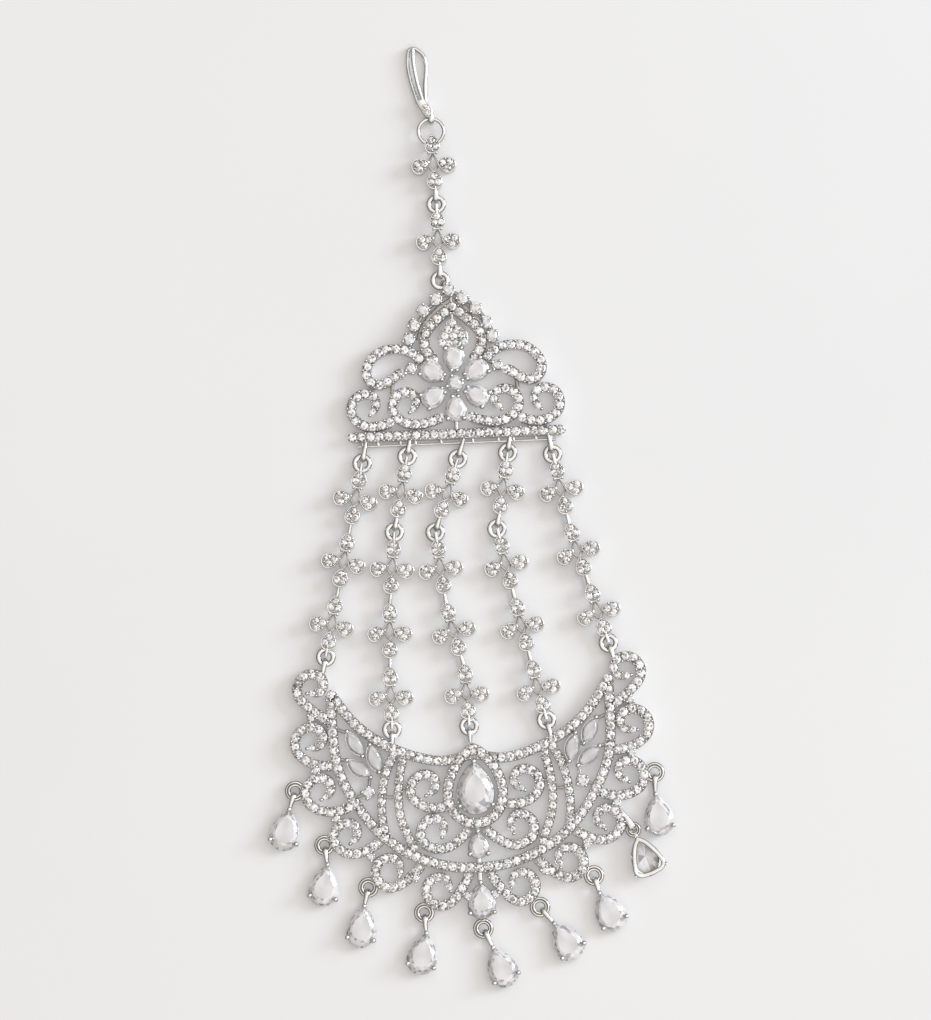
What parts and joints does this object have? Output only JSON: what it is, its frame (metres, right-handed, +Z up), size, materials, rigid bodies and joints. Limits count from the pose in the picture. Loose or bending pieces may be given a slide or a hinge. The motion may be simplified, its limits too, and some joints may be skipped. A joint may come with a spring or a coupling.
{
  "type": "jhoomar hair ornament",
  "caption": "Side hair ornament: a wire hook, florets on jump rings, a pierced crown, strings of florets and a pierced crescent hung with pear drops, lying flat.",
  "frame": {"origin": "centre of the bounding box at its bottom, on the surface that the piece lies on", "axes": "+X right of the front, +Y from the drops towards the hook, +Z up, out of the front"},
  "size_m": [0.0652, 0.1516, 0.0035],
  "materials": {
    "polished_white_metal": "bright polished white plate over cast base metal, set with small clear stones",
    "clear_stone": "faceted clear stone, polished"
  },
  "bodies": {
    "root": {"bottom_pear_stone": "clear_stone", "crescent_frame": "polished_white_metal", "crown_frame": "polished_white_metal", "drop_1": "polished_white_metal", "drop_2": "polished_white_metal", "drop_3": "polished_white_metal", "drop_4": "polished_white_metal", "drop_5": "polished_white_metal", "drop_6": "polished_white_metal", "drop_7": "polished_white_metal", "drop_8": "polished_white_metal", "drop_turned": "polished_white_metal", "floret_string1_1": "polished_white_metal", "floret_string1_2": "polished_white_metal", "floret_string1_3": "polished_white_metal", "floret_string2_1": "polished_white_metal", "floret_string2_2": "polished_white_metal", "floret_string2_3": "polished_white_metal", "floret_string2_4": "polished_white_metal", "floret_string3_1": "polished_white_metal", "floret_string3_2": "polished_white_metal", "floret_string3_3": "polished_white_metal", "floret_string3_4": "polished_white_metal", "floret_string4_1": "polished_white_metal", "floret_string4_2": "polished_white_metal", "floret_string4_3": "polished_white_metal", "floret_string4_4": "polished_white_metal", "floret_string5_1": "polished_white_metal", "floret_string5_2": "polished_white_metal", "floret_string5_3": "polished_white_metal", "floret_top_1": "polished_white_metal", "floret_top_2": "polished_white_metal", "flower_stone": "clear_stone", "hook": "polished_white_metal", "hook_ring": "polished_white_metal", "large_pear_stone": "clear_stone", "marquise_stone_left_1": "clear_stone", "marquise_stone_left_2": "clear_stone", "marquise_stone_left_3": "clear_stone", "marquise_stone_right_1": "clear_stone", "marquise_stone_right_2": "clear_stone", "marquise_stone_right_3": "clear_stone", "ring_string1_1": "polished_white_metal", "ring_string1_2": "polished_white_metal", "ring_string2_1": "polished_white_metal", "ring_string2_2": "polished_white_metal", "ring_string2_3": "polished_white_metal", "ring_string3_1": "polished_white_metal", "ring_string3_2": "polished_white_metal", "ring_string3_3": "polished_white_metal", "ring_string4_1": "polished_white_metal", "ring_string4_2": "polished_white_metal", "ring_string4_3": "polished_white_metal", "ring_string5_1": "polished_white_metal", "ring_string5_2": "polished_white_metal", "ring_top_2": "polished_white_metal", "ring_top_3": "polished_white_metal", "round_stone_left": "clear_stone", "round_stone_right": "clear_stone", "small_pear_stone": "clear_stone"}
  },
  "joints": []
}
